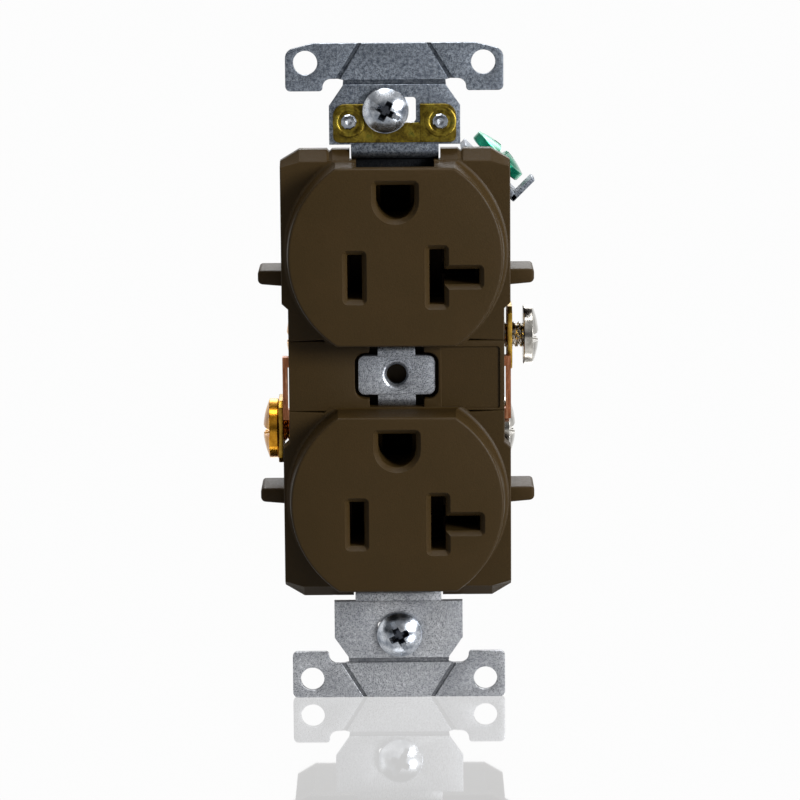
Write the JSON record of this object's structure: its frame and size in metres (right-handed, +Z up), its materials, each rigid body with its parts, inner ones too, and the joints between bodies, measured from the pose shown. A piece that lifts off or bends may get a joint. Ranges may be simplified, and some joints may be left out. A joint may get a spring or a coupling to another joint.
{
  "type": "duplex wall outlet",
  "caption": "Duplex receptacle with T-slot neutrals, self-grounding strap with plaster ears, side terminal screws with pressure plates and a corner ground screw.",
  "frame": {"origin": "middle of the mounting strap, on the back plane of its ears, where they bear on the wall box", "axes": "+X to the right of someone facing the wall, +Y into the wall, +Z up along the strap"},
  "size_m": [0.0443, 0.0297, 0.104],
  "materials": {
    "moulding": "fine satin moulded thermoplastic, dark brown",
    "zinc": "galvanized steel, speckled grey",
    "chromate": "olive yellow chromated spring plate",
    "brass": "bright brass",
    "copper": "reddish bus bar alloy, as rolled",
    "silver": "nickel plated steel",
    "green": "green dyed plating",
    "fibre": "black fibre sheet"
  },
  "bodies": {
    "outlet": {"face_cover": "moulding", "back_body": "moulding", "mounting_strap": "zinc", "hot_bus": "copper", "neutral_bus": "copper", "ground_contact_upper": "brass", "ground_contact_lower": "brass", "ground_contact_rivet_upper": "zinc", "ground_contact_rivet_lower": "zinc", "grounding_clip": "chromate", "clip_rivet_left": "zinc", "clip_rivet_right": "zinc", "assembly_screw_1": "zinc", "assembly_screw_2": "zinc", "assembly_screw_3": "zinc", "assembly_screw_4": "zinc"},
    "upper_left_plate": {"pressure_plate_upper_left": "brass"},
    "upper_left_screw": {"terminal_screw_upper_left": "brass"},
    "lower_left_plate": {"pressure_plate_lower_left": "brass"},
    "lower_left_screw": {"terminal_screw_lower_left": "brass"},
    "upper_right_plate": {"pressure_plate_upper_right": "brass"},
    "upper_right_screw": {"terminal_screw_upper_right": "silver"},
    "lower_right_plate": {"pressure_plate_lower_right": "brass"},
    "lower_right_screw": {"terminal_screw_lower_right": "silver"},
    "ground_screw": {"ground_screw": "green"},
    "upper_retainer": {"screw_retainer_upper": "fibre"},
    "upper_mounting_screw": {"mounting_screw_upper": "silver"},
    "lower_retainer": {"screw_retainer_lower": "fibre"},
    "lower_mounting_screw": {"mounting_screw_lower": "silver"}
  },
  "joints": [
    {"name": "upper_left_plate_slide", "type": "slide", "parent": "outlet", "child": "upper_left_plate", "axis": [-1, 0, 0], "range_m": [0, 0.0052]},
    {"name": "upper_left_screw_turn", "type": "hinge", "parent": "upper_left_plate", "child": "upper_left_screw", "pos_m": [-0.015, 0.0085, 0.00474], "axis": [-1, 0, 0], "range_deg": [0, 2359]},
    {"name": "lower_left_plate_slide", "type": "slide", "parent": "outlet", "child": "lower_left_plate", "axis": [-1, 0, 0], "range_m": [-0.0039, 0.0013]},
    {"name": "lower_left_screw_turn", "type": "hinge", "parent": "lower_left_plate", "child": "lower_left_screw", "pos_m": [-0.0189, 0.0085, -0.01014], "axis": [-1, 0, 0], "range_deg": [-1769, 590]},
    {"name": "upper_right_plate_slide", "type": "slide", "parent": "outlet", "child": "upper_right_plate", "axis": [1, 0, 0], "range_m": [-0.00335, 0.0003]},
    {"name": "upper_right_screw_turn", "type": "hinge", "parent": "upper_right_plate", "child": "upper_right_screw", "pos_m": [0.0201, 0.0085, 0.00474], "axis": [1, 0, 0], "range_deg": [-1520, 137]},
    {"name": "lower_right_plate_slide", "type": "slide", "parent": "outlet", "child": "lower_right_plate", "axis": [1, 0, 0], "range_m": [-0.0014, 0.0038]},
    {"name": "lower_right_screw_turn", "type": "hinge", "parent": "lower_right_plate", "child": "lower_right_screw", "pos_m": [0.0164, 0.0085, -0.01014], "axis": [1, 0, 0], "range_deg": [-635, 1724]},
    {"name": "ground_screw_turn", "type": "hinge", "parent": "outlet", "child": "ground_screw", "pos_m": [0.0144, 0.0085, 0.0315], "axis": [0.7071, 0, 0.7071], "range_deg": [-540, 900]},
    {"name": "upper_retainer_slide", "type": "slide", "parent": "outlet", "child": "upper_retainer", "axis": [0, -1, 0], "range_m": [0, 0.0019]},
    {"name": "upper_mounting_screw_turn", "type": "hinge", "parent": "upper_retainer", "child": "upper_mounting_screw", "pos_m": [-0.0014, 0, 0.04167], "axis": [0, -1, 0], "continuous": true},
    {"name": "lower_retainer_slide", "type": "slide", "parent": "outlet", "child": "lower_retainer", "axis": [0, -1, 0], "range_m": [0, 0.0019]},
    {"name": "lower_mounting_screw_turn", "type": "hinge", "parent": "lower_retainer", "child": "lower_mounting_screw", "pos_m": [0.0001, 0, -0.04167], "axis": [0, -1, 0], "continuous": true}
  ],
  "couplings": [
    {"joint": "upper_left_screw_turn", "follows": "upper_left_plate_slide", "rad_per_m": 7915.8},
    {"joint": "lower_left_screw_turn", "follows": "lower_left_plate_slide", "rad_per_m": 7915.8},
    {"joint": "upper_right_screw_turn", "follows": "upper_right_plate_slide", "rad_per_m": 7915.8},
    {"joint": "lower_right_screw_turn", "follows": "lower_right_plate_slide", "rad_per_m": 7915.8}
  ]
}
